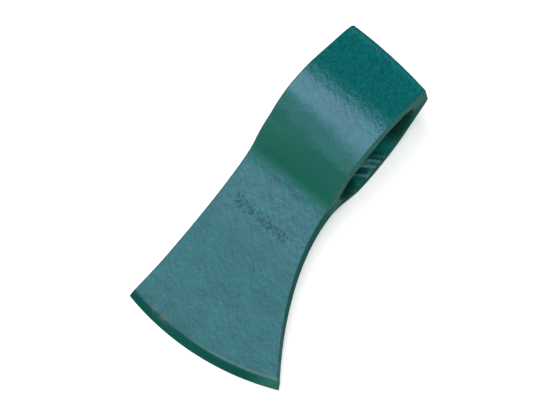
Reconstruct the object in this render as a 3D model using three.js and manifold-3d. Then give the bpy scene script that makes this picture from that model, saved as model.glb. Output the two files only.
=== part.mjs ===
// Forged steel axe head with an open shaft hole, lying on one cheek.
//
// Millimetres. The head is shaped in a frame of its own and then laid down:
//   x  from the cutting edge to the poll, 0 at the middle of the shaft hole
//   y  from the heel side to the toe side, along the shaft hole
//   z  across the thickness, 0 on the middle plane between the two cheeks
import * as THREE from 'three';
import { mergeVertices } from 'three/addons/utils/BufferGeometryUtils.js';
import Module from 'manifold-3d';

// ---- Cutting edge: one arc from heel to toe
const EDGE_RADIUS = 158;
const EDGE_CENTRE_X = 13.6;
const EDGE_CENTRE_Y = 4;
const EDGE_LAND = 0.5; // thickness left at the painted, unsharpened edge
const BEVEL_WIDTH = 5.3;
const BEVEL_NARROWING = 1.8; // how much narrower the bevel gets at the toe
const TOE_Y = 29.1;

// ---- Side outline
const WAIST_X = -38; // where the blade meets the eye
const EYE_BOTTOM_Y = -27.2;
const EYE_TOP_Y = 28.0;
const HEEL_DROP = 39.6; // how far the heel hangs below the eye
const HEEL_REACH = 91; // how far the heel lies in front of the waist
const BEARD_CURVE = 1.84; // power of the curve from the waist to the heel
const TOP_LINE = [
  [-142, 29.1], [-120, 27.3], [-100, 26.45], [-77, 26.1], [-57, 26.45], [-45, 27.15], [-36, EYE_TOP_Y],
];
const POLL_X = 46.1; // rearmost point of the crowned poll
const POLL_CROWN_Y = 24;
const POLL_CROWN_RADIUS = 275;

// ---- Half thickness of the head at points from the bevel to the poll. The eye swells more gently
// along its toe side.
const BLADE_CHEEK = [[-139, 2.2], [-110, 3.55], [-80, 4.95], [-50, 6.35], [-43, 6.75]];
const HEEL_SIDE_SWELL = [[-37, 7.8], [-33, 10.2], [-26, 17.0], [-21, 21.0], [-14, 23.4], [-4, 24.3]];
const TOE_SIDE_SWELL = [[-37, 8.0], [-33, 11.0], [-26, 15.4], [-20, 18.0], [-14, 21.0], [-4, 24.0]];
const POLL_CHEEK = [
  [6, 23.6], [12, 22.5], [17, 20.9], [22, 18.4], [26, 16.3], [34, 12.3], [41, 9.2], [47, 8],
];
const EDGE_ROUNDING = 0.9; // radius on the long edges of the forging
const THIN_ROUNDING_SHARE = 0.3; // that radius as a share of the half thickness, where the blade is thin

// ---- Shaft hole: a full oval that opens a little towards the top
const HOLE_HALF_LENGTH = 30.6;
const HOLE_HALF_WIDTH = 15.4;
const HOLE_TAPER = 1.2; // growth of both half sizes from the bottom mouth to the top mouth
const HOLE_FULLNESS = 2.4; // 2 is an ellipse, larger is squarer
const MOUTH_CHAMFER = 1.0;
const SPARE_LENGTH = 5; // by which the cutting shape stands out of each mouth

// ---- Fineness of the mesh
const BLADE_STATIONS = 14;
const EYE_STATIONS = 32;
const ROWS = 12; // from the heel side to the toe side
const LAYERS = 4; // through the thickness
const HOLE_SIDES = 64;
const CROSSING_PASSES = 12; // enough for a crossing to settle
const WELD_DISTANCE = 1e-4;

const lerp = THREE.MathUtils.lerp;
const clamp = THREE.MathUtils.clamp;

// A smooth function through listed points, level beyond the first and the last.
function curveThrough(points) {
  const xs = points.map((point) => point[0]);
  const ys = points.map((point) => point[1]);
  const curve = new THREE.CubicInterpolant(xs, ys, 1, new Float64Array(1));
  return (x) => curve.evaluate(x)[0];
}

const topLine = curveThrough(TOP_LINE);
const heelSideCheek = curveThrough([...BLADE_CHEEK, ...HEEL_SIDE_SWELL, ...POLL_CHEEK]);
const toeSideCheek = curveThrough([...BLADE_CHEEK, ...TOE_SIDE_SWELL, ...POLL_CHEEK]);

function bottomLine(x) {
  const ahead = Math.max(0, WAIST_X - x) / HEEL_REACH;
  return EYE_BOTTOM_Y - HEEL_DROP * ahead ** BEARD_CURVE;
}

function edgeLine(y) {
  return EDGE_CENTRE_X - Math.sqrt(EDGE_RADIUS ** 2 - (y - EDGE_CENTRE_Y) ** 2);
}

function bevelLine(y) {
  return edgeLine(y) + BEVEL_WIDTH - BEVEL_NARROWING * (Math.max(0, y) / TOE_Y) ** 2;
}

function pollLine(y) {
  return POLL_X - (POLL_CROWN_Y - y) ** 2 / (2 * POLL_CROWN_RADIUS);
}

// Stations run along the head: 0 is the edge, 1 the bevel line, then come the blade, the eye and the poll.
const LAST_STATION = BLADE_STATIONS + EYE_STATIONS;

function stationLine(station, rounding) {
  if (station === 0) {
    return edgeLine;
  }
  if (station <= BLADE_STATIONS) {
    const share = (station - 1) / (BLADE_STATIONS - 1);
    return (y) => lerp(bevelLine(y), WAIST_X, share);
  }
  const share = Math.min(1, (station - BLADE_STATIONS) / (EYE_STATIONS - 1));
  return (y) => lerp(WAIST_X, pollLine(y) - rounding, share);
}

// Where a station crosses the top or the bottom outline.
function crossing(line, outline) {
  let y = outline(line(0));
  for (let pass = 0; pass < CROSSING_PASSES; pass += 1) {
    y = outline(line(y));
  }
  return y;
}

function halfThickness(station, x, y) {
  if (station === 0) {
    return EDGE_LAND / 2;
  }
  const toeward = clamp((y - EYE_BOTTOM_Y) / (EYE_TOP_Y - EYE_BOTTOM_Y), 0, 1);
  return lerp(heelSideCheek(x), toeSideCheek(x), toeward);
}

// Grid lines 0 and last lie on the rounding itself, and the ones beside them where it starts.
function alongSide(index, last) {
  return clamp((index - 1) / (last - 2), 0, 1);
}

function overEdge(index, last) {
  if (index === 0) {
    return -1;
  }
  return index === last ? 1 : 0;
}

// One point of the head's skin, from its place on the blank's grid.
function forge(station, row, layer, target) {
  const probe = crossing(stationLine(station, EDGE_ROUNDING), topLine);
  const thickness = halfThickness(station, stationLine(station, EDGE_ROUNDING)(probe), probe);
  const rounding = Math.min(EDGE_ROUNDING, THIN_ROUNDING_SHARE * thickness);
  const line = stationLine(station, rounding);
  const top = crossing(line, topLine) - rounding;
  const bottom = crossing(line, bottomLine) + rounding;
  const y = lerp(bottom, top, alongSide(row, ROWS));
  const x = line(y);
  const z = lerp(-1, 1, alongSide(layer, LAYERS)) * (halfThickness(station, x, y) - rounding);
  const pollward = station === LAST_STATION ? 1 : 0;
  target.set(pollward, overEdge(row, ROWS), overEdge(layer, LAYERS));
  if (target.lengthSq() > 0) {
    target.setLength(rounding);
  }
  target.x += x;
  target.y += y;
  target.z += z;
}

// A blank block, each point of whose surface is moved to its place on the head.
function makeBody() {
  const blank = new THREE.BoxGeometry(LAST_STATION, ROWS, LAYERS, LAST_STATION, ROWS, LAYERS);
  const positions = blank.attributes.position;
  const point = new THREE.Vector3();
  for (let i = 0; i < positions.count; i += 1) {
    const station = Math.round(positions.getX(i) + LAST_STATION / 2);
    const row = Math.round(positions.getY(i) + ROWS / 2);
    const layer = Math.round(positions.getZ(i) + LAYERS / 2);
    forge(station, row, layer, point);
    positions.setXYZ(i, point.x, point.y, point.z);
  }
  return blank;
}

function signedPower(value, power) {
  return Math.sign(value) * Math.abs(value) ** power;
}

// The space of the shaft hole, with a chamfer at each mouth and some length to spare beyond it.
function makeHole() {
  const levels = [
    [EYE_BOTTOM_Y - SPARE_LENGTH, 0, MOUTH_CHAMFER],
    [EYE_BOTTOM_Y, 0, MOUTH_CHAMFER],
    [EYE_BOTTOM_Y + MOUTH_CHAMFER, 0, 0],
    [EYE_TOP_Y - MOUTH_CHAMFER, HOLE_TAPER, 0],
    [EYE_TOP_Y, HOLE_TAPER, MOUTH_CHAMFER],
    [EYE_TOP_Y + SPARE_LENGTH, HOLE_TAPER, MOUTH_CHAMFER],
  ];
  const steps = levels.length - 1;
  const tool = new THREE.CylinderGeometry(1, 1, steps, HOLE_SIDES, steps);
  const positions = tool.attributes.position;
  for (let i = 0; i < positions.count; i += 1) {
    const [y, taper, chamfer] = levels[Math.round(positions.getY(i) + steps / 2)];
    const across = signedPower(positions.getX(i), 2 / HOLE_FULLNESS);
    const through = signedPower(positions.getZ(i), 2 / HOLE_FULLNESS);
    positions.setXYZ(
      i,
      across * (HOLE_HALF_LENGTH + taper + chamfer),
      y,
      through * (HOLE_HALF_WIDTH + taper + chamfer),
    );
  }
  return tool;
}

// ---- Solids
const wasm = await Module();
wasm.setup();

function toSolid(geometry) {
  const bare = geometry.clone();
  bare.deleteAttribute('normal');
  bare.deleteAttribute('uv');
  const merged = mergeVertices(bare, WELD_DISTANCE);
  return new wasm.Manifold(new wasm.Mesh({
    numProp: 3,
    vertProperties: merged.attributes.position.array,
    triVerts: new Uint32Array(merged.index.array),
  }));
}

function toGeometry(solid) {
  const mesh = solid.getMesh();
  const geometry = new THREE.BufferGeometry();
  geometry.setAttribute('position', new THREE.BufferAttribute(mesh.vertProperties, 3));
  geometry.setIndex(new THREE.BufferAttribute(mesh.triVerts, 1));
  geometry.computeVertexNormals();
  return geometry;
}

// ---- The head, laid on one cheek so that it rests on the swell of the eye and on its edge
function restingTilt(geometry) {
  const positions = geometry.attributes.position;
  const edgeX = EDGE_CENTRE_X - EDGE_RADIUS;
  let tilt = 0;
  for (let i = 0; i < positions.count; i += 1) {
    if (positions.getX(i) > WAIST_X) {
      const rise = -positions.getZ(i) - EDGE_LAND / 2;
      tilt = Math.max(tilt, Math.atan2(rise, positions.getX(i) - edgeX));
    }
  }
  return tilt;
}

const paintedSteel = new THREE.MeshStandardMaterial({ color: 0x0d5f5c, roughness: 0.4, metalness: 0.0 });
const headGeometry = toGeometry(toSolid(makeBody()).subtract(toSolid(makeHole())));
const axeHead = new THREE.Mesh(headGeometry, paintedSteel);
axeHead.name = 'axe_head';
axeHead.rotation.y = -restingTilt(headGeometry);

const laidDown = new THREE.Box3().setFromObject(axeHead, true);
const middle = laidDown.getCenter(new THREE.Vector3());
axeHead.position.set(-middle.x, -middle.y, -laidDown.min.z);

const part = new THREE.Group();
part.add(axeHead);

export default part;
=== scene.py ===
"""Painted forged steel axe head, lying on one cheek: finished mesh, paint, floor, lights and camera.

The head is shaped in millimetres in a frame of its own, the same as the CAD part's:
  x  from the cutting edge to the poll, 0 at the middle of the shaft hole
  y  from the heel side to the toe side, along the shaft hole
  z  across the thickness, 0 on the middle plane between the two cheeks
It is then laid down in the row frame, in metres, where the CAD node lies.
"""

import math

import bmesh
import bpy
import numpy as np
from mathutils import Matrix, Vector, noise


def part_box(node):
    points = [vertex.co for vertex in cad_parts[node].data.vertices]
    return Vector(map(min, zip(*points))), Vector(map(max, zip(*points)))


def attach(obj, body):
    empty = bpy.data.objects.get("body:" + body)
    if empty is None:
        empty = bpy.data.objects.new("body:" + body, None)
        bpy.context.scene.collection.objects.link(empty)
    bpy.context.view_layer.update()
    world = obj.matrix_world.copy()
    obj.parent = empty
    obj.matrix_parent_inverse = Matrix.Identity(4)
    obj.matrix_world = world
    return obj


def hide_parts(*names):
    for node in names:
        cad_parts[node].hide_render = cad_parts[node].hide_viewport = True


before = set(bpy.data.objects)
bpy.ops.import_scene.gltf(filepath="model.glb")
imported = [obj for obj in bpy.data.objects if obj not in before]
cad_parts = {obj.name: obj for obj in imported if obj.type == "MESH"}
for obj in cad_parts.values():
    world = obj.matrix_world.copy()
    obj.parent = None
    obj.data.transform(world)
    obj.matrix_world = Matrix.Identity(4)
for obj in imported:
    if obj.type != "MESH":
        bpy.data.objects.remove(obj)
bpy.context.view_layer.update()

MM = 0.001

# ---- Driving dimensions of the head, as in the CAD part
EDGE_RADIUS = 158.0
EDGE_CENTRE_X = 13.6
EDGE_CENTRE_Y = 4.0
EDGE_LAND = 0.5  # thickness left at the painted, unsharpened edge
BEVEL_WIDTH = 5.3
BEVEL_NARROWING = 1.8  # how much narrower the bevel gets at the toe
TOE_Y = 29.1
WAIST_X = -38.0  # where the blade meets the eye
EYE_BOTTOM_Y = -27.2
EYE_TOP_Y = 28.0
HEEL_DROP = 39.6  # how far the heel hangs below the eye
HEEL_REACH = 91.0  # how far the heel lies in front of the waist
BEARD_CURVE = 1.84  # power of the curve from the waist to the heel
TOP_LINE = [
    (-142, 29.1), (-120, 27.3), (-100, 26.45), (-77, 26.1), (-57, 26.45), (-45, 27.15), (-36, EYE_TOP_Y),
]
POLL_X = 46.1  # rearmost point of the crowned poll
POLL_CROWN_Y = 24.0
POLL_CROWN_RADIUS = 275.0
BLADE_CHEEK = [(-139, 2.2), (-110, 3.55), (-80, 4.95), (-50, 6.35), (-43, 6.75)]
HEEL_SIDE_SWELL = [(-37, 7.8), (-33, 10.2), (-26, 17.0), (-21, 21.0), (-14, 23.4), (-4, 24.3)]
TOE_SIDE_SWELL = [(-37, 8.0), (-33, 11.0), (-26, 15.4), (-20, 18.0), (-14, 21.0), (-4, 24.0)]
POLL_CHEEK = [(6, 23.6), (12, 22.5), (17, 20.9), (22, 18.4), (26, 16.3), (34, 12.3), (41, 9.2), (47, 8)]
EDGE_ROUNDING = 0.9  # radius on the long edges of the forging
THIN_ROUNDING_SHARE = 0.3  # that radius as a share of the half thickness, where the blade is thin
HOLE_HALF_LENGTH = 30.6
HOLE_HALF_WIDTH = 15.4
HOLE_TAPER = 1.2  # growth of both half sizes from the bottom mouth to the top mouth
HOLE_FULLNESS = 2.4  # 2 is an ellipse, larger is squarer

# ---- Finish that only this model has
POLL_ROUNDING = 2.2  # radius between each cheek and the face of the poll
MOUTH_ROUNDING = 1.0  # in place of the CAD part's chamfer of the same size
CORNER_START_X = 38.0
CORNER_FALL = 0.017  # how the outline draws in towards the poll's corners, per millimetre squared

# ---- Stations along a cheek. They are continuous: 2.5 is halfway from the waist to the poll's corner.
EDGE = 0
BEVEL = 1
WAIST = 2
CORNER = 3  # where the rounding at the poll starts
POLL = 4  # where it ends, on the face of the poll
POLL_MIDDLE = 5

# ---- Fineness of the mesh
BEVEL_STEPS = 9
BEVEL_CREASE_SHARES = [0.04, 0.96]  # further stations, close to the two borders of the bevel
BLADE_CREASE_SHARE = 0.0025  # the blade's first station behind the bevel line
BLADE_STEP = 0.8
STAMP_STEP = 0.28
EYE_STEPS = 112
CORNER_STEPS = 6
POLL_STEPS = 9
SIDE_ROWS = 116
FILLET_ROWS = 5
END_ROWS = 7
MOUTH_ROWS = 4
WALL_ROWS = 46
FRONT_OF_HOLE_X = -33.0  # from here on the end faces run to the mouth of the hole
OVAL_SAMPLES = 4001
CROSSING_PASSES = 14  # enough for a crossing to settle
WELD_DISTANCE = 1e-3
SHORTEST_EDGE = 1e-4

# ---- Stamped row on the near cheek: strokes and dots in three groups, no letters
STAMP_X = -65.2
STAMP_TOP_Y = 16.6
STAMP_HEIGHT = 6.2
STAMP_DEPTH = 0.10
STAMP_STROKE = 0.58
STROKE_CORE = 0.45  # share of the stroke's width out to which it has its full depth
STROKE_FADE = 1.35  # share of the stroke's width at which it has faded out
STAMP_MARGIN = 1.4  # by which the fine grid reaches past the strokes
STAMP_SLOTS = 24
STAMP_GAPS = (9, 17)
STAMP_PITCH = 1.55
GAP_PITCH_SHARE = 0.8
PITCH_SPREAD = (0.85, 1.15)
STAMP_LEAN = 0.5
STROKE_START = (0.0, 0.25)  # as shares of the row's height
STROKE_STOP = (0.72, 1.0)
DOT_CHANCE = 0.6
DOT_PLACE = (0.1, 0.9)  # as shares of the row's height
DOT_LENGTH = (0.2, 0.9)
STAMP_SEED = 7
STAMP_PATCH_SIZE = 1.8  # the strokes come and go in patches of this size
STAMP_PATCH_SEED = 31
CLEAR_STAMP = (-0.35, 0.15)  # values of the noise between which they go from faint to clear
FAINTEST_STAMP = 0.2

# ---- Zones of the surface: where each starts, is full, begins to fade and ends, measured along x
ROUGH_WAIST = (-80, -56, -38, -31)
GRAINY_WAIST = (-84, -56, -38, -31)
HOLLOW = (-44, -37, -24, -12)
KNEE = (6, 14, 22, 30)

# ---- Relief of the forging: heights and sizes of its features
SEED_SHIFT = (17.3, -9.1, 5.7)  # how far one seed's noise lies from the next
EDGE_SPAN_Y = (-70, 30)  # heights for which the arc of the edge is used
OFF_EDGE = (1.0, 9.0)  # distance behind the edge over which the relief begins
WAVE_HEIGHT, WAVE_SIZE = 0.07, 16.0
MARK_SIZE = 2.8
MARK_HEIGHT = 0.024
WAIST_MARKS = 0.046  # these four are added to MARK_HEIGHT in their own places
KNEE_MARKS = 0.026
BEND_MARKS = 0.035
FOOT_MARKS = 0.022
BEND_X, BEND_WIDTH = -39, 5  # where the blade turns up into the swell
FOOT_X, FOOT_WIDTH = -22, 6  # where the swell starts to catch the light
BEND_LUMP_HEIGHT, BEND_LUMP_SIZE = 0.09, 6.0
HOLE_LUMP_HEIGHT, HOLE_LUMP_SIZE = 0.16, 5.0
HOLE_LUMP_STRETCH = (1.0, 0.35, 1.0)  # the lumps run along the hole
WALL_REACH = 2  # how far beyond the hole's half length its wall can lie
WALL_FACING = -0.5  # normals of the wall face the hole's middle at least this much

# ---- Paint masks. A pair says where a mask starts to rise or to fade, and where it has done so.
NEAR_SIDE_Z = (-6, 2)
SIDE_FACING = (0.5, 0.9)  # share of a normal along y, on the narrow faces round the head
ROUNDED_FACING = (0.25, 0.5, 0.75, 0.95)  # the same, as a zone, on the rounding of the long edges
POLL_CORNER_FACING = (0.6, 0.8, 0.9, 0.98)  # share of a normal along x, as a zone, on the poll's rounding

BEVEL_BORDER = (-0.7, 0.3)  # this and the other distances behind the bevel are past BEVEL_WIDTH
BEVEL_SHADE, BEVEL_SHADE_REACH = 0.4, 2.2  # of the bevel's paint on the cheek behind it
BEVEL_SHADE_END_Y = (16, 26)
# a lighter line along the bevel's shoulder: partly wear, partly a painted highlight
BEVEL_LINE_WEAR_AND_HIGHLIGHT = 0.36
BEVEL_LINE_DISTANCE, BEVEL_LINE_WIDTH = 0.5, 0.8
BEVEL_LINE_END_Y = (-30, 0)
HEEL_TIP_WEAR = 0.8
HEEL_TIP_END_Y = (-62, -46)
PATCH_WEAR = 0.6
PATCH_Y, PATCH_LENGTH = 9, 7
PATCH_DISTANCE, PATCH_WIDTH = 0.1, 1.8

DUST_START_X = (WAIST_X - 6, WAIST_X + 4)
DUST_BLADE_END_X = (-37, -31)  # on the far side the dust lies only at the two ends of the hole
DUST_POLL_END_X = (34, 40)
# worn edges, partly painted as a highlight on their rounding; the near side gets more of it
BLADE_WEAR_AND_HIGHLIGHT = 0.6  # of the long edges, as a share of the eye's
FAR_SIDE_WEAR_AND_HIGHLIGHT = 0.3  # as a share of the near side's
EYE_WEAR_AND_HIGHLIGHT_X = (-44, -34)
POLL_WEAR_AND_HIGHLIGHT_END_X = (36, 42)
POLL_CORNER_WEAR_AND_HIGHLIGHT = 0.5

HOLE_MIDDLE_X = -4
# painted shade towards the two ends of the hole
HOLE_END_SHADE_REACH = (10, 22)  # from HOLE_MIDDLE_X towards either end of the hole
# where scratch streaks low on the hole's far wall are painted bright as a highlight
SCUFF_HIGHLIGHT_X, SCUFF_HIGHLIGHT_LENGTH = -7, 9
SCUFF_HIGHLIGHT_RISE, SCUFF_HIGHLIGHT_HEIGHT = 7, 8  # above the bottom mouth

CROWN_X = (3, 15)
GRAIN = 0.60
WAIST_GRAIN = 0.36  # this and the next three are added to GRAIN in their own places
HOLE_GRAIN = 0.2
SWELL_GRAIN, SWELL_GRAIN_X = 0.05, (-26, -6)
CROWN_GRAIN, CROWN_GRAIN_X = 0.42, (8, 15)
POLL_SMOOTHING, POLL_SMOOTHING_X = 0.7, (41, 44)

# ---- Strength of the glints along the head, as (x, share)
SHEEN = [
    (-139, 1.22), (-112, 1.10), (-92, 0.96), (-45, 0.92), (-39, 0.70), (-30, 0.9), (-14, 0.96),
    (-5, 1.04), (5, 1.34), (14, 1.28), (22, 1.0), (34, 0.9), (42, 0.45),
]

# ---- Stage
FLOOR_HALF_SIZE = 30.0
FLOOR_COLOR = (0.88, 0.88, 0.88, 1.0)
FLOOR_GLOW = 0.55  # keeps the pale floor as white as the photo's plain ground

CAMERA_DISTANCE = 0.650
CAMERA_LEAN = math.radians(14.0)  # towards the heel side, so that the mouth of the eye shows
VIEW_WIDTH = 0.2961  # width of what the camera sees, at its aim
AIM = (-55.2, -3.7, 0.0)  # in the head's own frame
POLL_DIRECTION = math.radians(50.5)  # up from the right of the picture
SENSOR_WIDTH = 36.0
CLIP_START = 0.01

SOFTBOX_DISTANCE = 4.0
SOFTBOX_DEPTH = 4.4
SOFTBOX_LEAN = math.radians(14.0)  # both softboxes lean towards the toe side
SKY_STRENGTH = 0.04


# ---- Outlines

def mix(a, b, share):
    return a + (b - a) * share


def smooth_step(value, low, high):
    t = np.clip((value - low) / (high - low), 0, 1)
    return t * t * (3 - 2 * t)


def zone(value, start, full, fade, end):
    """1 between full and fade, 0 before start and beyond end."""
    return smooth_step(value, start, full) * (1 - smooth_step(value, fade, end))


def bell(value, middle, width):
    """1 at the middle, fading over about this width on both sides."""
    return np.exp(-((value - middle) / width) ** 2)


def curve_through(points):
    """A smooth function through the points, level beyond the first and the last."""
    xs = np.array([p[0] for p in points], float)
    ys = np.array([p[1] for p in points], float)
    steps = np.diff(xs)
    slopes = np.diff(ys) / steps
    inner = (slopes[:-1] + slopes[1:]) / 2
    # The slopes at the two ends leave the curve without curvature there.
    first = 1.5 * slopes[0] - 0.5 * inner[0]
    last = 1.5 * slopes[-1] - 0.5 * inner[-1]
    point_slopes = np.concatenate([[first], inner, [last]])

    def curve(x):
        x = np.clip(np.asarray(x, float), xs[0], xs[-1])
        i = np.clip(np.searchsorted(xs, x, side="right") - 1, 0, len(steps) - 1)
        t = (x - xs[i]) / steps[i]
        start = (1 + 2 * t) * (1 - t) ** 2 * ys[i] + t * (1 - t) ** 2 * steps[i] * point_slopes[i]
        end = t * t * (3 - 2 * t) * ys[i + 1] + t * t * (t - 1) * steps[i] * point_slopes[i + 1]
        return start + end

    return curve


blade_top_line = curve_through(TOP_LINE)
heel_side_cheek = curve_through(BLADE_CHEEK + HEEL_SIDE_SWELL + POLL_CHEEK)
toe_side_cheek = curve_through(BLADE_CHEEK + TOE_SIDE_SWELL + POLL_CHEEK)


def poll_corner_fall(x):
    return CORNER_FALL * np.maximum(0, np.asarray(x, float) - CORNER_START_X) ** 2


def top_line(x):
    return blade_top_line(x) - poll_corner_fall(x)


def bottom_line(x):
    ahead = np.maximum(0, WAIST_X - np.asarray(x, float)) / HEEL_REACH
    return EYE_BOTTOM_Y - HEEL_DROP * ahead ** BEARD_CURVE + poll_corner_fall(x)


def edge_line(y):
    return EDGE_CENTRE_X - np.sqrt(EDGE_RADIUS ** 2 - (y - EDGE_CENTRE_Y) ** 2)


def bevel_line(y):
    return edge_line(y) + BEVEL_WIDTH - BEVEL_NARROWING * (np.maximum(0, y) / TOE_Y) ** 2


def poll_line(y):
    return POLL_X - (POLL_CROWN_Y - y) ** 2 / (2 * POLL_CROWN_RADIUS)


def cheek(x, y):
    """Half thickness of the head."""
    toeward = np.clip((y - EYE_BOTTOM_Y) / (EYE_TOP_Y - EYE_BOTTOM_Y), 0, 1)
    return mix(heel_side_cheek(x), toe_side_cheek(x), toeward)


# ---- The skin of the near cheek

def skin(station, y):
    """x and z of the near cheek at a station and a height y, for arrays of the same shape."""
    edge, bevel, poll = edge_line(y), bevel_line(y), poll_line(y)
    corner = poll - POLL_ROUNDING
    turn = (station - CORNER) * math.pi / 2
    x = np.select(
        [station < BEVEL, station < WAIST, station < CORNER, station < POLL],
        [
            mix(edge, bevel, station),
            mix(bevel, WAIST_X, station - BEVEL),
            mix(WAIST_X, corner, station - WAIST),
            poll - POLL_ROUNDING * (1 - np.sin(turn)),
        ],
        poll,
    )
    corner_half = cheek(corner, y)
    z = np.select(
        [station < BEVEL, station < CORNER, station < POLL],
        [
            mix(EDGE_LAND / 2, cheek(bevel, y), station),
            cheek(x, y),
            corner_half - POLL_ROUNDING * (1 - np.cos(turn)),
        ],
        (corner_half - POLL_ROUNDING) * (POLL_MIDDLE - station),
    )
    return x, z


def crossing(station, outline):
    """The height at which each station meets the top or the bottom outline."""
    y = np.zeros_like(station)
    for _ in range(CROSSING_PASSES):
        x, _z = skin(station, y)
        y = outline(x)
    return y


def outward(station, y):
    """The outward direction of the near cheek in the x-z plane."""
    reach = 1e-3
    x0, z0 = skin(np.maximum(station - reach, EDGE), y)
    x1, z1 = skin(np.minimum(station + reach, POLL_MIDDLE), y)
    along = np.stack([x1 - x0, z1 - z0], -1)
    along /= np.linalg.norm(along, axis=-1, keepdims=True)
    return -along[..., 1], along[..., 0]


def blade_stations():
    """Stations of the blade, closer together where the strokes are stamped."""
    front = float(bevel_line(EDGE_CENTRE_Y))
    length = WAIST_X - front
    half = STAMP_HEIGHT / 2 + STAMP_MARGIN
    low = (STAMP_X - half - front) / length
    high = (STAMP_X + half - front) / length
    before = np.linspace(0, low, round(low * length / BLADE_STEP), endpoint=False)
    stamp = np.linspace(low, high, round((high - low) * length / STAMP_STEP), endpoint=False)
    after = np.linspace(high, 1, round((1 - high) * length / BLADE_STEP), endpoint=False)
    return BEVEL + np.concatenate([[0, BLADE_CREASE_SHARE], before[1:], stamp, after])


def near_stations():
    """All stations, from the cutting edge to the middle of the poll."""
    bevel = np.linspace(EDGE, BEVEL, BEVEL_STEPS, endpoint=False)
    bevel = np.sort(np.concatenate([bevel, BEVEL_CREASE_SHARES]))
    eye = np.linspace(WAIST, CORNER, EYE_STEPS, endpoint=False)
    corner = np.linspace(CORNER, POLL, CORNER_STEPS, endpoint=False)
    poll = np.linspace(POLL, POLL_MIDDLE, POLL_STEPS)
    return np.concatenate([bevel, blade_stations(), eye, corner, poll])


# ---- The shaft hole

def hole_oval(turn, grow):
    """x and z of the shaft hole's wall, grown outwards; turn 0 is its poll end, pi its blade end."""
    c, s = np.cos(turn), np.sin(turn)
    power = 2 / HOLE_FULLNESS
    x = np.sign(c) * np.abs(c) ** power * (HOLE_HALF_LENGTH + grow)
    z = np.sign(s) * np.abs(s) ** power * (HOLE_HALF_WIDTH + grow)
    return x, z


def spread_round_hole(shares):
    """Turns of the oval at these shares of the way round its near half, from blade end to poll end."""
    turn = math.pi * (1 - np.linspace(0, 1, OVAL_SAMPLES))
    x, z = hole_oval(turn, 0)
    walked = np.concatenate([[0], np.cumsum(np.hypot(np.diff(x), np.diff(z)))])
    return np.interp(shares, walked / walked[-1], turn)


def wall_levels():
    """Height and growth of each row of the hole's wall, from the bottom mouth to the top mouth."""
    angles = [math.pi / 2 * k / MOUTH_ROWS for k in range(MOUTH_ROWS)]
    mouth = [(MOUTH_ROUNDING * (1 - math.cos(a)), MOUTH_ROUNDING * (1 - math.sin(a))) for a in angles]
    low, high = EYE_BOTTOM_Y + MOUTH_ROUNDING, EYE_TOP_Y - MOUTH_ROUNDING
    shares = [k / WALL_ROWS for k in range(WALL_ROWS + 1)]
    levels = [(EYE_BOTTOM_Y + rise, grow) for rise, grow in mouth]
    levels += [(mix(low, high, share), HOLE_TAPER * share) for share in shares]
    levels += [(EYE_TOP_Y - rise, HOLE_TAPER + grow) for rise, grow in reversed(mouth)]
    return levels


# ---- The mesh

class NearHalf:
    """Rows of points over the near half of the head, each from the edge to the middle of the poll."""

    def __init__(self):
        self.station = near_stations()
        self.top = crossing(self.station, top_line)
        self.bottom = crossing(self.station, bottom_line)
        self.rounding = self.find_rounding()
        x, z = skin(self.station, self.bottom)
        self.in_eye = x > FRONT_OF_HOLE_X
        self.first = int(np.argmax(self.in_eye))
        gone = np.concatenate([[0], np.cumsum(np.hypot(np.diff(x), np.diff(z)))])
        shares = (gone - gone[self.first]) / (gone[-1] - gone[self.first])
        self.turns = spread_round_hole(np.clip(shares, 0, 1))

    def find_rounding(self):
        """Radius of the long edges at each station."""
        _x, half = skin(self.station, (self.top + self.bottom) / 2)
        half = np.where(self.station < CORNER, half, cheek(poll_line(0.0), 0.0))
        return np.minimum(EDGE_ROUNDING, THIN_ROUNDING_SHARE * half)

    def side_row(self, y, inset):
        """A row at height y, this far inside the skin."""
        x, z = skin(self.station, y)
        out_x, out_z = outward(self.station, y)
        z = np.where(self.station == POLL_MIDDLE, 0, z - out_z * inset)
        return np.stack([x - out_x * inset, y, z], -1)

    def fillet_row(self, end, into, angle):
        """A row on a long edge's rounding: angle 0 lies on the cheek, a quarter turn on the end face."""
        y = end + into * self.rounding * (1 - math.sin(angle))
        return self.side_row(y, self.rounding * (1 - math.cos(angle)))

    def end_rows(self, end, mouth_y, into, taper):
        """Rows from the mouth of the hole, or from the middle of the blade's side, out to the rounding."""
        outer = self.fillet_row(end, into, math.pi / 2)
        x, _z = skin(self.station, end)
        hole_x, hole_z = hole_oval(self.turns, taper + MOUTH_ROUNDING)
        inner_z = np.where(self.in_eye, np.abs(hole_z), 0)
        inner_z[[self.first, -1]] = 0
        inner_y = np.where(self.in_eye, mouth_y, end)
        inner = np.stack([np.where(self.in_eye, hole_x, x), inner_y, inner_z], -1)
        return [mix(inner, outer, k / END_ROWS) for k in range(END_ROWS)]

    def skin_grid(self):
        """The skin, from the bottom mouth over the cheek to the top mouth."""
        angles = [math.pi / 2 * (1 - k / FILLET_ROWS) for k in range(FILLET_ROWS)]
        low, high = self.bottom + self.rounding, self.top - self.rounding
        rows = self.end_rows(self.bottom, EYE_BOTTOM_Y, 1, 0.0)
        rows += [self.fillet_row(self.bottom, 1, angle) for angle in angles]
        rows += [self.side_row(mix(low, high, k / SIDE_ROWS), 0) for k in range(SIDE_ROWS + 1)]
        rows += [self.fillet_row(self.top, -1, angle) for angle in reversed(angles)]
        rows += reversed(self.end_rows(self.top, EYE_TOP_Y, -1, HOLE_TAPER))
        return np.stack(rows, 1)

    def wall_grid(self):
        """The wall of the shaft hole."""
        rows = []
        for y, grow in wall_levels():
            x, z = hole_oval(self.turns[self.first:], grow)
            z = np.abs(z)
            z[[0, -1]] = 0
            rows.append(np.stack([x, np.full_like(x, y), z], -1))
        return np.stack(rows, 1)


def mirrored(grid):
    return grid * np.array([1, 1, -1])


def ring_quads(columns, rows, start):
    """Faces of a closed ring of columns, whose points are stored column by column from this index."""
    faces = []
    for c in range(columns):
        a = start + c * rows
        b = start + (c + 1) % columns * rows
        faces += [(a + r, b + r, b + r + 1, a + r + 1) for r in range(rows - 1)]
    return faces


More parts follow.
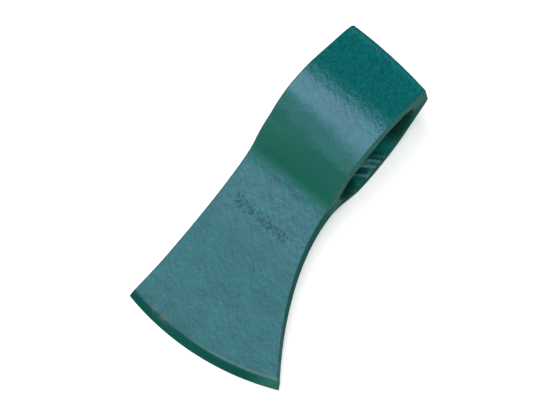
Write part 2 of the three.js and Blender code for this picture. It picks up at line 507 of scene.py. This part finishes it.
def build_head():
    """The whole head as one closed mesh, in millimetres, in its own frame."""
    near = NearHalf()
    near_skin, near_wall = near.skin_grid(), near.wall_grid()
    # The far half runs back from the poll to the edge, without the columns that both halves share.
    whole_skin = np.concatenate([near_skin, mirrored(near_skin)[-2::-1]])
    whole_wall = np.concatenate([near_wall, mirrored(near_wall)[-2:0:-1]])
    points = np.concatenate([whole_skin.reshape(-1, 3), whole_wall.reshape(-1, 3)])
    skin_columns, skin_rows, _ = whole_skin.shape
    wall_columns, wall_rows, _ = whole_wall.shape
    faces = ring_quads(skin_columns, skin_rows, 0)
    faces += ring_quads(wall_columns, wall_rows, skin_columns * skin_rows)
    mesh = bpy.data.meshes.new("axe_head_finish")
    mesh.from_pydata(points.tolist(), [], faces)
    bm = bmesh.new()
    bm.from_mesh(mesh)
    bmesh.ops.remove_doubles(bm, verts=bm.verts, dist=WELD_DISTANCE)
    bmesh.ops.dissolve_degenerate(bm, edges=bm.edges, dist=SHORTEST_EDGE)
    bmesh.ops.recalc_face_normals(bm, faces=bm.faces)
    if bm.calc_volume(signed=True) < 0:
        bmesh.ops.reverse_faces(bm, faces=bm.faces)
    bm.to_mesh(mesh)
    bm.free()
    return mesh


# ---- Relief: uneven forging, scale marks, stamped strokes

def vertex_vectors(mesh, name):
    flat = np.empty(len(mesh.vertices) * 3)
    mesh.vertices.foreach_get(name, flat)
    return flat.reshape(-1, 3)


def noise_field(points, size, seed, octaves=1, stretch=(1, 1, 1)):
    """Smooth noise, about -1 to 1, with features of this size in millimetres."""
    shift = Vector(SEED_SHIFT) * seed
    scaled = points * (np.array(stretch) / size)
    total = np.zeros(len(points))
    gain = 1.0
    for octave in range(octaves):
        factor = 2.0 ** octave
        total += gain * np.array([noise.noise(Vector(p) * factor + shift) for p in scaled])
        gain *= 0.5
    return total


def segment_distance(px, py, ax, ay, bx, by):
    """Distance of the points p from the segment between a and b."""
    dx, dy = bx - ax, by - ay
    t = np.clip(((px - ax) * dx + (py - ay) * dy) / (dx * dx + dy * dy), 0, 1)
    return np.hypot(px - ax - t * dx, py - ay - t * dy)


def stamp_strokes():
    """Short strokes that fill the place of the stamped words: (x0, y0, x1, y1) each."""
    rng = np.random.default_rng(STAMP_SEED)
    low, high = STAMP_X - STAMP_HEIGHT / 2, STAMP_X + STAMP_HEIGHT / 2
    strokes = []
    y = STAMP_TOP_Y
    for slot in range(STAMP_SLOTS):
        if slot in STAMP_GAPS:
            y -= STAMP_PITCH * GAP_PITCH_SHARE
            continue
        lean = rng.uniform(-STAMP_LEAN, STAMP_LEAN)
        start = mix(low, high, rng.uniform(*STROKE_START))
        stop = mix(low, high, rng.uniform(*STROKE_STOP))
        strokes.append((start, y - lean, stop, y + lean))
        if rng.random() < DOT_CHANCE:
            dot = mix(low, high, rng.uniform(*DOT_PLACE))
            dot_y = y - STAMP_PITCH / 2
            strokes.append((dot, dot_y, dot + rng.uniform(*DOT_LENGTH), dot_y))
        y -= STAMP_PITCH * rng.uniform(*PITCH_SPREAD)
    return strokes


def stamp_mask(points):
    """How deep each point lies in a stamped stroke, 0 to 1."""
    near = (points[:, 2] > 0) & (np.abs(points[:, 0] - STAMP_X) < STAMP_HEIGHT)
    x, y = points[near, 0], points[near, 1]
    depth = np.zeros(len(x))
    for stroke in stamp_strokes():
        away = segment_distance(x, y, *stroke) / STAMP_STROKE
        depth = np.maximum(depth, 1 - smooth_step(away, STROKE_CORE, STROKE_FADE))
    patches = noise_field(points[near], STAMP_PATCH_SIZE, STAMP_PATCH_SEED)
    clear = smooth_step(patches, *CLEAR_STAMP)
    mask = np.zeros(len(points))
    mask[near] = depth * mix(FAINTEST_STAMP, 1, clear)
    return mask


def behind_edge(x, y):
    """How far points lie behind the cutting edge, along x."""
    return x - edge_line(np.clip(y, *EDGE_SPAN_Y))


def inside_hole(points, normals):
    """1 on the wall of the shaft hole, 0 elsewhere."""
    x, _y, z = points.T
    facing = normals[:, 0] * x + normals[:, 2] * z
    return ((np.abs(x) < HOLE_HALF_LENGTH + WALL_REACH) & (facing < WALL_FACING)).astype(float)


def add_relief(mesh):
    """Moves the skin along its normals; gives back how deep each point lies in the stamp."""
    points, normals = vertex_vectors(mesh, "co"), vertex_vectors(mesh, "normal")
    x, y, _z = points.T
    bend = bell(x, BEND_X, BEND_WIDTH)
    mark_height = (
        MARK_HEIGHT
        + WAIST_MARKS * zone(x, *ROUGH_WAIST)
        + KNEE_MARKS * zone(x, *KNEE)
        + BEND_MARKS * bend
        + FOOT_MARKS * bell(x, FOOT_X, FOOT_WIDTH)
    )
    height = WAVE_HEIGHT * noise_field(points, WAVE_SIZE, seed=1, octaves=2)
    height += mark_height * noise_field(points, MARK_SIZE, seed=2, octaves=2)
    height += BEND_LUMP_HEIGHT * bend * noise_field(points, BEND_LUMP_SIZE, seed=5, octaves=2)
    height *= smooth_step(behind_edge(x, y), *OFF_EDGE)
    hole_lumps = noise_field(points, HOLE_LUMP_SIZE, seed=4, octaves=2, stretch=HOLE_LUMP_STRETCH)
    height += HOLE_LUMP_HEIGHT * inside_hole(points, normals) * hole_lumps
    stamped = stamp_mask(points)
    height -= STAMP_DEPTH * stamped
    mesh.vertices.foreach_set("co", (points + normals * height[:, None]).ravel())
    mesh.update()
    return stamped


# ---- Point masks that the paint reads

class Places:
    """What the masks are worked out from, one value for each point of the mesh."""

    def __init__(self, mesh):
        points, normals = vertex_vectors(mesh, "co"), vertex_vectors(mesh, "normal")
        self.x, self.y, self.z = points.T
        self.pollward = normals[:, 0]
        self.endward = np.abs(normals[:, 1])
        self.near = smooth_step(self.z, *NEAR_SIDE_Z)
        self.hole = inside_hole(points, normals)
        self.side = smooth_step(self.endward, *SIDE_FACING)
        self.behind_bevel = behind_edge(self.x, self.y) - BEVEL_WIDTH


def bevel_masks(at):
    """The bevel, the line behind it with wear and a painted highlight, the worn heel tip and a worn patch.
    """
    behind = at.behind_bevel
    shade = bell(np.maximum(behind, 0), 0, BEVEL_SHADE_REACH) * (1 - smooth_step(at.y, *BEVEL_SHADE_END_Y))
    bevel = np.maximum(1 - smooth_step(behind, *BEVEL_BORDER), BEVEL_SHADE * shade)
    line = bell(behind, BEVEL_LINE_DISTANCE, BEVEL_LINE_WIDTH) * (1 - smooth_step(at.y, *BEVEL_LINE_END_Y))
    patch = bell(at.y, PATCH_Y, PATCH_LENGTH) * bell(behind, PATCH_DISTANCE, PATCH_WIDTH)
    heel_tip = bevel * (1 - smooth_step(at.y, *HEEL_TIP_END_Y))
    return {
        "bevel": bevel,
        "bevel_line": BEVEL_LINE_WEAR_AND_HIGHLIGHT * line * at.near,
        "heel_tip": HEEL_TIP_WEAR * heel_tip * at.near,
        "worn_patch": PATCH_WEAR * patch * at.near,
    }


def rim_masks(at):
    """The narrow faces round the head and the worn edges between them and the cheeks, which also carry a
    painted highlight.
    """
    ends = np.maximum(1 - smooth_step(at.x, *DUST_BLADE_END_X), smooth_step(at.x, *DUST_POLL_END_X))
    dust = smooth_step(at.x, *DUST_START_X) * np.maximum(at.near, ends)
    rounding_wear_and_highlight = zone(at.endward, *ROUNDED_FACING)
    rounding_wear_and_highlight = rounding_wear_and_highlight * mix(BLADE_WEAR_AND_HIGHLIGHT, 1, smooth_step(at.x, *EYE_WEAR_AND_HIGHLIGHT_X)) * mix(FAR_SIDE_WEAR_AND_HIGHLIGHT, 1, at.near)
    rounding_wear_and_highlight = rounding_wear_and_highlight * (1 - at.hole) * (1 - smooth_step(at.x, *POLL_WEAR_AND_HIGHLIGHT_END_X))
    poll_corner = zone(at.pollward, *POLL_CORNER_FACING)
    return {
        "side": at.side,
        "end_face": at.side * dust,
        "edge_wear_and_highlight": np.maximum(rounding_wear_and_highlight, POLL_CORNER_WEAR_AND_HIGHLIGHT * poll_corner),
    }


def hole_masks(at):
    """The wall of the shaft hole, painted shade at its two ends, and scratch streaks painted bright as a
    highlight low on its far side.
    """
    scratched_highlight = bell(at.x, SCUFF_HIGHLIGHT_X, SCUFF_HIGHLIGHT_LENGTH) * bell(at.y, EYE_BOTTOM_Y + SCUFF_HIGHLIGHT_RISE, SCUFF_HIGHLIGHT_HEIGHT)
    return {
        "inside": at.hole,
        # painted shade towards both ends of the hole
        "hole_end_shade": at.hole * smooth_step(np.abs(at.x - HOLE_MIDDLE_X), *HOLE_END_SHADE_REACH),
        "scuff_highlight": scratched_highlight * at.hole * (at.z < 0),
    }


def length_masks(at):
    """What changes along the head: colour zones that are partly painted shade and painted reflection,
    grain and the strength of the glints.
    """
    grain = GRAIN + WAIST_GRAIN * zone(at.x, *GRAINY_WAIST) + HOLE_GRAIN * at.hole
    grain += SWELL_GRAIN * smooth_step(at.x, *SWELL_GRAIN_X)
    grain += CROWN_GRAIN * smooth_step(at.x, *CROWN_GRAIN_X)
    return {
        "hollow": zone(at.x, *HOLLOW),
        "crown": smooth_step(at.x, *CROWN_X),
        "grain": grain * (1 - POLL_SMOOTHING * smooth_step(at.x, *POLL_SMOOTHING_X)),
        "sheen": curve_through(SHEEN)(at.x),
    }


def add_masks(mesh, stamped):
    at = Places(mesh)
    masks = {"stamped": stamped}
    for group in (bevel_masks, rim_masks, hole_masks, length_masks):
        masks.update(group(at))
    for name, values in masks.items():
        layer = mesh.attributes.new(name, "FLOAT", "POINT")
        layer.data.foreach_set("value", values.astype(np.float32))


# ---- Laying the head down where the CAD node lies

def resting_tilt(points):
    """The lean at which the swell of the eye and the edge both touch the floor."""
    swell = points[points[:, 0] > WAIST_X]
    rise = -swell[:, 2] - EDGE_LAND / 2
    return float(np.arctan2(rise, swell[:, 0] - (EDGE_CENTRE_X - EDGE_RADIUS)).max())


def laying(points):
    """Matrix from the head's own frame in millimetres to the row frame in metres."""
    turn = Matrix.Rotation(-resting_tilt(points), 4, "Y")
    laid = points @ np.array(turn.to_3x3()).T
    low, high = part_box("axe_head")
    shift = (Vector(low) + Vector(high)) / 2 / MM - Vector((laid.min(0) + laid.max(0)) / 2)
    shift.z = low.z / MM - laid[:, 2].min()
    return Matrix.Scale(MM, 4) @ Matrix.Translation(shift) @ turn


# ---- Paint

class Nodes:
    """Short calls for building a material's node tree."""

    def __init__(self, material):
        material.use_nodes = True
        self.tree = material.node_tree
        self.tree.nodes.clear()

    def add(self, kind, inputs=None, **settings):
        node = self.tree.nodes.new(kind)
        for key, value in settings.items():
            setattr(node, key, value)
        for key, value in (inputs or {}).items():
            self.feed(node.inputs[key], value)
        return node

    def feed(self, socket, value):
        if isinstance(value, bpy.types.NodeSocket):
            self.tree.links.new(value, socket)
        else:
            socket.default_value = value

    def noise(self, coords, per_metre, detail=3.0, rough=0.55):
        node = self.add(
            "ShaderNodeTexNoise",
            {"Vector": coords, "Scale": per_metre, "Detail": detail, "Roughness": rough},
        )
        return node.outputs["Fac"]

    def ramp(self, value, low, high, to_low=0.0, to_high=1.0):
        node = self.add(
            "ShaderNodeMapRange",
            {"Value": value, "From Min": low, "From Max": high, "To Min": to_low, "To Max": to_high},
        )
        return node.outputs["Result"]

    def math(self, operation, a, b):
        return self.add("ShaderNodeMath", {0: a, 1: b}, operation=operation).outputs[0]

    def times(self, a, b):
        return self.math("MULTIPLY", a, b)

    def mask(self, name):
        return self.add("ShaderNodeAttribute", attribute_name=name).outputs["Fac"]

    def lessened(self, value, mask, share):
        """The value, brought down to this share of itself where the mask is 1."""
        return self.times(value, self.ramp(mask, 0.0, 1.0, 1.0, share))

    def blend(self, share, a, b):
        node = self.add("ShaderNodeMix", {"Factor": share}, data_type="RGBA")
        self.feed(node.inputs[6], a)
        self.feed(node.inputs[7], b)
        return node.outputs[2]

    def turned(self, coords, rotation, stretch):
        node = self.add(
            "ShaderNodeMapping",
            {"Vector": coords, "Rotation": rotation, "Scale": stretch},
            vector_type="TEXTURE",
        )
        return node.outputs["Vector"]

    def surface(self, inputs):
        shader = self.add("ShaderNodeBsdfPrincipled", inputs)
        self.add("ShaderNodeOutputMaterial", {"Surface": shader.outputs[0]})


def srgb(red, green, blue):
    """Linear colour with alpha from 0-255 display values."""
    def linear(value):
        value /= 255
        return value / 12.92 if value <= 0.04045 else ((value + 0.055) / 1.055) ** 2.4
    return (linear(red), linear(green), linear(blue), 1.0)


BLADE_PAINT = srgb(1, 83, 81), srgb(4, 98, 96)
# greener paint in the hollow at the waist: partly the coat's colour, partly painted shade
HOLLOW_PAINT_AND_SHADE = srgb(5, 91, 79)
# bluer speckled paint on the knee and the poll: partly the coat's grain, partly painted reflection of
# bluish light
CROWN_PAINT_AND_REFLECTION = srgb(0, 84, 85), srgb(3, 112, 113)
BEVEL_PAINT = srgb(2, 76, 71)
HEEL_TIP_PAINT = srgb(46, 112, 99)
# the line along the bevel's shoulder: partly wear, partly a painted highlight
BEVEL_LINE_WEAR_AND_HIGHLIGHT_COLOR = srgb(110, 142, 136)
# painted light: the hole's wall is painted brighter than the cheeks, as if lit from the floor
HOLE_PAINT_AND_LIGHT = srgb(12, 102, 98), srgb(28, 162, 154)
# painted shade: darker paint at the two narrow ends of the hole
HOLE_END_SHADE = srgb(35, 92, 81)
# painted shade: the narrow faces round the head are painted darker than the cheeks
SIDE_PAINTED_SHADE = srgb(5, 80, 74)
DUSTY_PAINT = srgb(57, 106, 101)
# worn edges, partly a painted highlight along the rounding of the long edges
EDGE_WEAR_AND_HIGHLIGHT_COLOR = srgb(98, 124, 115)
WORN_PATCH_COLOR = srgb(108, 112, 108)
# painted highlight: near-white streaks on the hole's far wall, drawn like scratches
SCRATCH_HIGHLIGHT_COLOR = srgb(165, 225, 228)
# painted shade in the stamped strokes
STAMP_SHADE = srgb(1, 70, 66)
GLINT_TINT = (0.46, 0.65, 1.0, 1.0)

MOTTLE_NOISE = 0.35, 0.65  # values of the noise between which one colour gives way to the other
DUST_NOISE = 0.30, 0.60
CHIP_NOISE = 0.40, 0.58
SCRATCH_HIGHLIGHT_NOISE = 0.50, 0.62
ROUGHNESS_NOISE = 0.3, 0.7
# how much of the painted shade the narrow faces get
SIDE_SHADE_COVER = 0.8
DUST_COVER = 0.4, 1.0
RUBBED_AND_LIT_COVER = 0.25, 0.6
SCRATCH_HIGHLIGHT_TURN = (0, math.radians(25), math.radians(35))
SCRATCH_HIGHLIGHT_STRETCH = (1.0, 7.0, 1.0)
GRAIN_TURN = (0, 0, math.radians(-50.5))
GRAIN_STRETCH = (1.0, 1.6, 1.0)
PEEL_WEIGHT = 0.75  # of the coarse grain in the bump
FINE_WEIGHT = 0.3
BUMP_DISTANCE = 0.0004
ROUGHNESS = 0.30, 0.38
HOLLOW_ROUGHNESS = 0.48
SIDE_ROUGHNESS = 0.85
CHEEK_GLOSS = 0.5
BEVEL_GLOSS = 0.14
SIDE_GLOSS_SHARE = 0.12
STAMP_GLOSS_SHARE = 0.62
HOLE_GLOSS_SHARE = 0.15
PAINT_IOR = 1.58


def painted_color(n, coords):
    """The coat of paint, zone by zone, with painted shade on the narrow faces, in the hollow and at the
    hole's ends, painted reflection on the crown and painted light on the hole's wall.
    """
    mottled = n.ramp(n.noise(coords, per_metre=110, detail=5, rough=0.7), *MOTTLE_NOISE)
    color = n.blend(mottled, *BLADE_PAINT)
    # the hollow at the waist gets a greener tint, partly painted shade
    color = n.blend(n.mask("hollow"), color, HOLLOW_PAINT_AND_SHADE)
    speckled = n.ramp(n.noise(coords, per_metre=620, detail=3, rough=0.7), *MOTTLE_NOISE)
    # the knee and the poll get a bluer speckled tint, partly painted reflection
    color = n.blend(n.mask("crown"), color, n.blend(speckled, *CROWN_PAINT_AND_REFLECTION))
    color = n.blend(n.mask("bevel"), color, BEVEL_PAINT)
    color = n.blend(n.mask("heel_tip"), color, HEEL_TIP_PAINT)
    # wear and a painted highlight along the bevel's shoulder
    color = n.blend(n.mask("bevel_line"), color, BEVEL_LINE_WEAR_AND_HIGHLIGHT_COLOR)
    streaked = n.ramp(n.noise(coords, per_metre=140, detail=4), *MOTTLE_NOISE)
    # painted light on the hole's wall, with painted shade at its two ends
    wall = n.blend(n.mask("hole_end_shade"), n.blend(streaked, *HOLE_PAINT_AND_LIGHT), HOLE_END_SHADE)
    color = n.blend(n.mask("inside"), color, wall)
    # painted shade on the narrow faces round the head
    return n.blend(n.times(n.mask("side"), SIDE_SHADE_COVER), color, SIDE_PAINTED_SHADE)


def wear_and_painted_light_color(n, coords, color):
    """Dust, worn edges with a painted highlight on their rounding, scratch streaks painted bright as a
    highlight in the hole, and painted shade in the stamped strokes, over the paint.
    """
    dusty = n.ramp(n.noise(coords, per_metre=160, detail=4), *DUST_NOISE, *DUST_COVER)
    color = n.blend(n.times(n.mask("end_face"), dusty), color, DUSTY_PAINT)
    chipped = n.ramp(n.noise(coords, per_metre=240, detail=4), *CHIP_NOISE)
    # wear and a painted highlight on the rounding of the long edges
    rubbed_and_lit = n.times(n.mask("edge_wear_and_highlight"), n.ramp(chipped, 0.0, 1.0, *RUBBED_AND_LIT_COVER))
    color = n.blend(rubbed_and_lit, color, EDGE_WEAR_AND_HIGHLIGHT_COLOR)
    color = n.blend(n.times(n.mask("worn_patch"), chipped), color, WORN_PATCH_COLOR)
    # scratch streaks painted bright as a highlight low in the hole
    drawn_out = n.turned(coords, SCRATCH_HIGHLIGHT_TURN, SCRATCH_HIGHLIGHT_STRETCH)
    scratch_highlights = n.ramp(n.noise(drawn_out, per_metre=420, detail=3), *SCRATCH_HIGHLIGHT_NOISE)
    color = n.blend(n.times(n.mask("scuff_highlight"), scratch_highlights), color, SCRATCH_HIGHLIGHT_COLOR)
    # painted shade in the stamped strokes
    return n.blend(n.mask("stamped"), color, STAMP_SHADE)


def paint_normal(n, coords):
    """The pebbled surface of the coat."""
    brushed = n.turned(coords, GRAIN_TURN, GRAIN_STRETCH)
    peel = n.times(n.noise(brushed, per_metre=420, detail=2), PEEL_WEIGHT)
    fine = n.times(n.noise(brushed, per_metre=1300, detail=2), FINE_WEIGHT)
    bump = n.add("ShaderNodeBump", {
        "Height": n.math("ADD", peel, fine),
        "Strength": n.mask("grain"),
        "Distance": BUMP_DISTANCE,
    })
    return bump.outputs["Normal"]


def paint_roughness(n, coords):
    roughness = n.ramp(n.noise(coords, per_metre=300, detail=3), *ROUGHNESS_NOISE, *ROUGHNESS)
    roughness = n.math("MAXIMUM", roughness, n.times(n.mask("hollow"), HOLLOW_ROUGHNESS))
    return n.math("MAXIMUM", roughness, n.times(n.mask("side"), SIDE_ROUGHNESS))


def paint_gloss(n):
    gloss = n.ramp(n.mask("bevel"), 0.0, 1.0, CHEEK_GLOSS, BEVEL_GLOSS)
    gloss = n.lessened(gloss, n.mask("side"), SIDE_GLOSS_SHARE)
    gloss = n.lessened(gloss, n.mask("stamped"), STAMP_GLOSS_SHARE)
    away_from_highlight = n.math("SUBTRACT", n.mask("inside"), n.mask("scuff_highlight"))
    gloss = n.lessened(gloss, away_from_highlight, HOLE_GLOSS_SHARE)
    return n.times(gloss, n.mask("sheen"))


def make_paint():
    material = bpy.data.materials.new("painted_steel_finish")
    n = Nodes(material)
    coords = n.add("ShaderNodeTexCoord").outputs["Object"]
    n.surface({
        "Base Color": wear_and_painted_light_color(n, coords, painted_color(n, coords)),
        "Roughness": paint_roughness(n, coords),
        "IOR": PAINT_IOR,
        "Specular IOR Level": paint_gloss(n),
        "Specular Tint": GLINT_TINT,
        "Normal": paint_normal(n, coords),
    })
    return material


def make_floor_material():
    material = bpy.data.materials.new("pale_floor")
    Nodes(material).surface({
        "Base Color": FLOOR_COLOR,
        "Roughness": 0.9,
        "IOR": 1.2,
        "Emission Color": (1, 1, 1, 1),
        "Emission Strength": FLOOR_GLOW,
    })
    return material


# ---- Scene

def make_axe_head():
    """The finished head; gives back the matrix that laid it down."""
    mesh = build_head()
    matrix = laying(vertex_vectors(mesh, "co"))
    stamped = add_relief(mesh)
    add_masks(mesh, stamped)
    mesh.transform(matrix)
    for face in mesh.polygons:
        face.use_smooth = True
    head = bpy.data.objects.new("axe_head_finish", mesh)
    bpy.context.scene.collection.objects.link(head)
    mesh.materials.append(make_paint())
    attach(head, "root")
    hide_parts("axe_head")
    return matrix


def make_floor():
    corners = [(-1, -1), (1, -1), (1, 1), (-1, 1)]
    points = [(x * FLOOR_HALF_SIZE, y * FLOOR_HALF_SIZE, 0) for x, y in corners]
    mesh = bpy.data.meshes.new("floor")
    mesh.from_pydata(points, [], [(0, 1, 2, 3)])
    floor = bpy.data.objects.new("floor", mesh)
    bpy.context.scene.collection.objects.link(floor)
    mesh.materials.append(make_floor_material())


def make_camera(matrix):
    """The camera looks along the head's thickness, leaning towards the heel side."""
    turn = matrix.to_3x3().normalized()
    back = turn @ Vector((0, -math.sin(CAMERA_LEAN), math.cos(CAMERA_LEAN)))
    pollward = turn @ Vector((1, 0, 0))
    toeward = back.cross(pollward)
    right = pollward * math.cos(POLL_DIRECTION) - toeward * math.sin(POLL_DIRECTION)
    up = back.cross(right)
    data = bpy.data.cameras.new("camera")
    data.sensor_width = SENSOR_WIDTH
    data.lens = SENSOR_WIDTH * CAMERA_DISTANCE / VIEW_WIDTH
    data.clip_start = CLIP_START
    camera = bpy.data.objects.new("camera", data)
    bpy.context.scene.collection.objects.link(camera)
    place = Matrix((right, up, back)).transposed().to_4x4()
    place.translation = matrix @ Vector(AIM) + back * CAMERA_DISTANCE
    camera.matrix_world = place
    bpy.context.scene.camera = camera


def add_softbox(name, lean, width, radiance, color):
    """A softbox that leans from straight overhead by this many degrees towards +X."""
    data = bpy.data.lights.new(name, "AREA")
    data.shape = "RECTANGLE"
    data.size = width
    data.size_y = SOFTBOX_DEPTH
    data.energy = radiance * math.pi * width * SOFTBOX_DEPTH
    data.color = color
    light = bpy.data.objects.new(name, data)
    bpy.context.scene.collection.objects.link(light)
    turn = Matrix.Rotation(math.radians(lean), 4, "Y") @ Matrix.Rotation(-SOFTBOX_LEAN, 4, "X")
    light.matrix_world = turn @ Matrix.Translation((0, 0, SOFTBOX_DISTANCE))


def make_lights():
    add_softbox("overhead_softbox", lean=-2, width=2.6, radiance=4.7, color=(1.0, 1.0, 1.0))
    add_softbox("edge_side_softbox", lean=-44, width=1.6, radiance=2.2, color=(1.0, 0.94, 0.66))
    world = bpy.data.worlds.new("studio")
    bpy.context.scene.world = world
    world.use_nodes = True
    background = world.node_tree.nodes["Background"]
    background.inputs["Color"].default_value = (1, 1, 1, 1)
    background.inputs["Strength"].default_value = SKY_STRENGTH


bpy.context.scene.view_settings.view_transform = "Standard"
laid_down = make_axe_head()
make_floor()
make_lights()
make_camera(laid_down)
